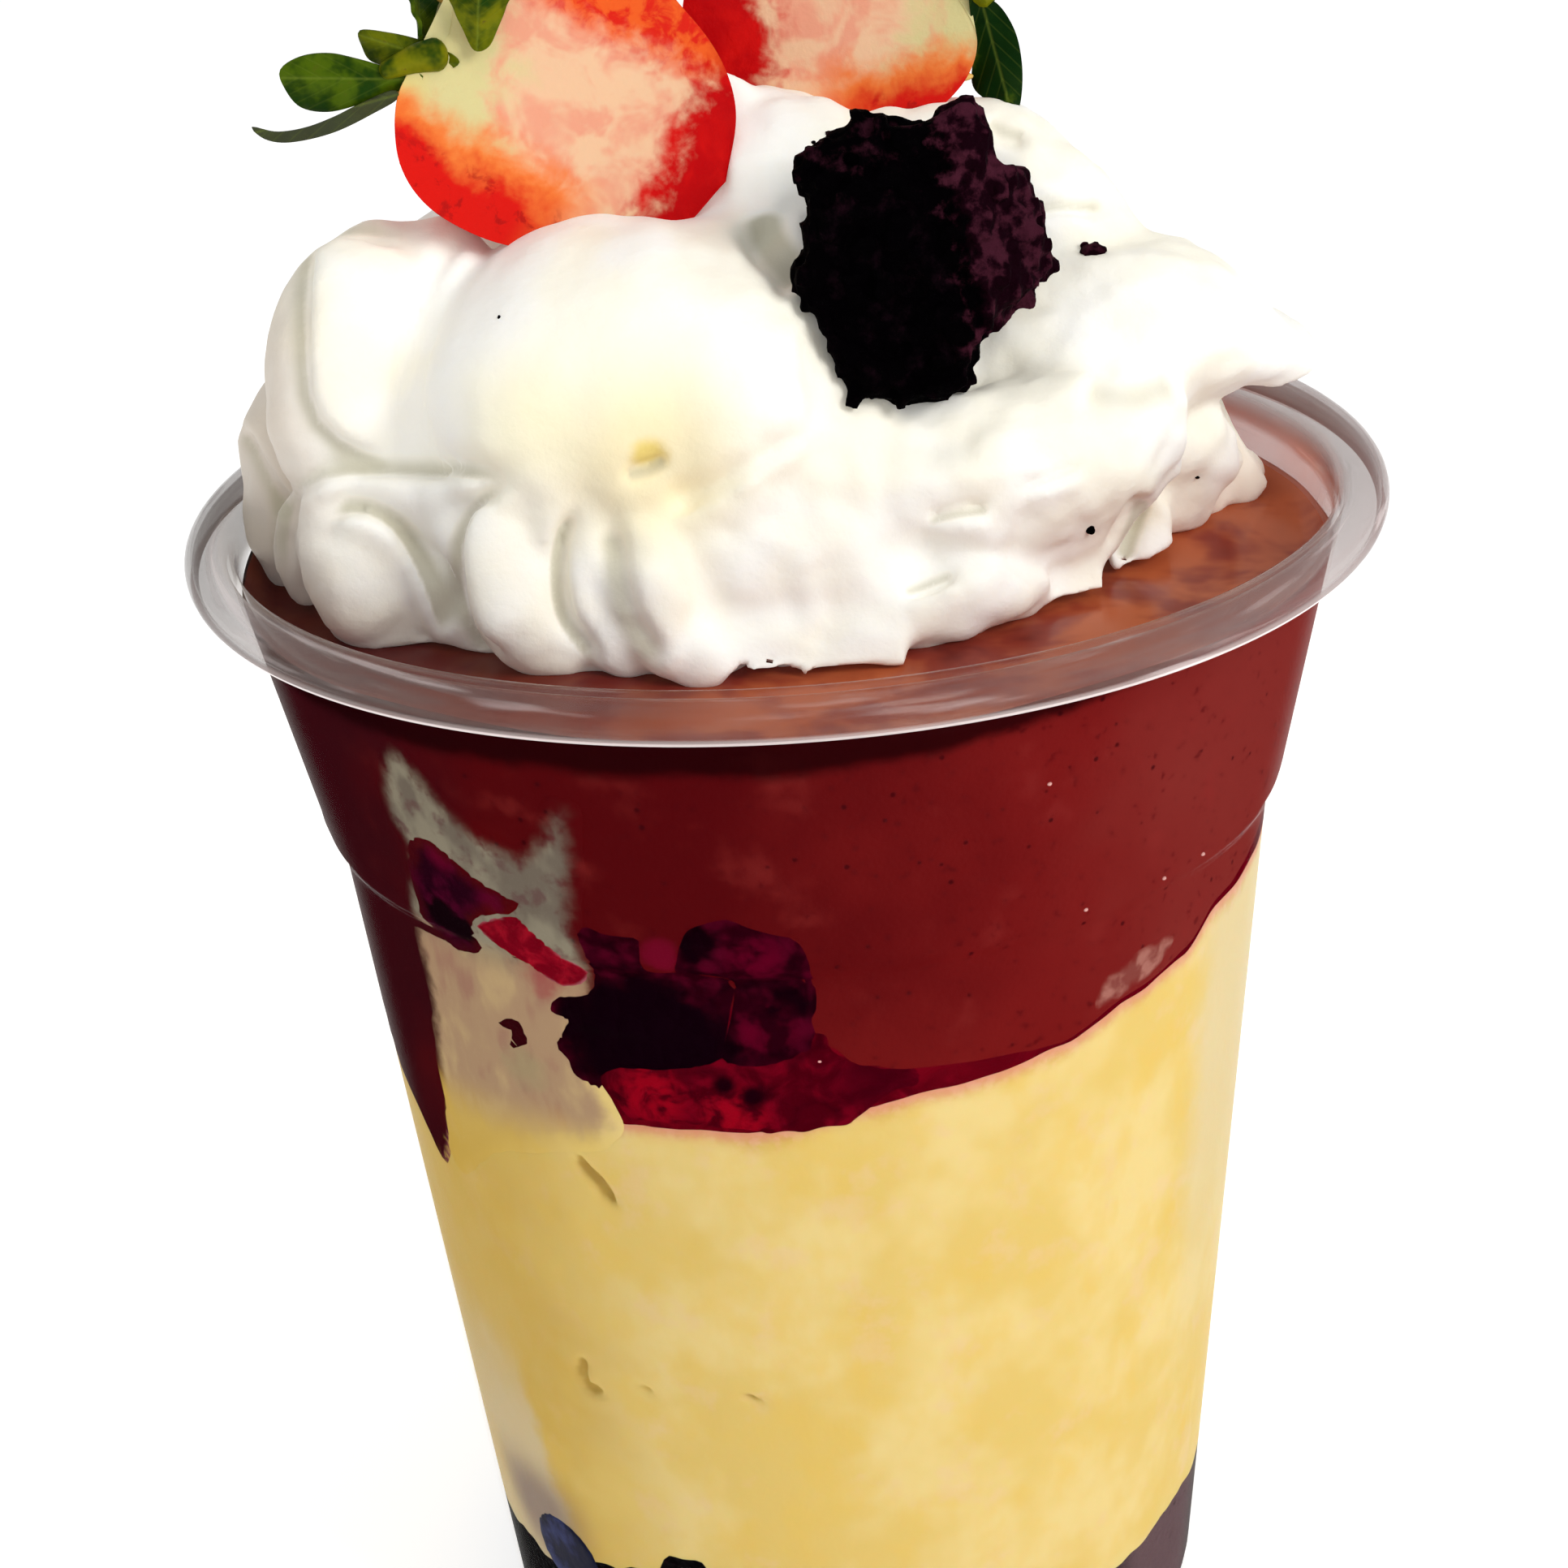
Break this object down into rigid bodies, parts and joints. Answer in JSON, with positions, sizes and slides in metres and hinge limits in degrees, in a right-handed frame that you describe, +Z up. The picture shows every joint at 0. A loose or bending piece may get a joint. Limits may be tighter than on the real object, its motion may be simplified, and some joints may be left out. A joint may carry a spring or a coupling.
{
  "type": "layered brownie dessert cup",
  "caption": "Clear tapered plastic cup of layered dessert: brownie crumb, custard, berry jelly and mousse, topped with piped whipped cream, strawberry halves and a brownie piece.",
  "frame": {"origin": "middle of the cup's foot, on the surface that it stands on", "axes": "+Z up along the cup's axis; -Y is the front, where the dark berries show; +X is the viewer's right"},
  "size_m": [0.098, 0.098, 0.1539],
  "materials": {
    "clear_plastic": "clear thin formed plastic, glossy",
    "brownie": "dark crumbly brownie, matt and rough",
    "custard": "smooth pale yellow custard with small pits, satin",
    "jelly": "wet dark red berry jelly, glossy",
    "mousse": "brick red berry mousse with fine flecks, soft sheen",
    "wall_cream": "cream smeared against the wall, greyish white",
    "strawberry": "red skin with seeds, pale juicy cut face",
    "dark_berry": "wet, almost black berry beads",
    "blueberry": "dark blue skin with pale bloom",
    "whipped_cream": "warm white piped cream, soft satin",
    "leaf": "green strawberry leaf with paler veins"
  },
  "bodies": {
    "root": {"cup": "clear_plastic", "base_crumb": "brownie", "custard": "custard", "jelly": "jelly", "mousse": "mousse", "cream_pocket": "wall_cream", "strawberry_slice": "strawberry", "dark_berry_left": "dark_berry", "dark_berry_front": "dark_berry", "dark_berry_side": "dark_berry", "blueberry_left": "blueberry", "whipped_cream": "whipped_cream", "brownie_piece": "brownie", "strawberry_left": "strawberry", "strawberry_right": "strawberry", "calyx_left": "leaf", "calyx_right": "leaf"}
  },
  "joints": []
}
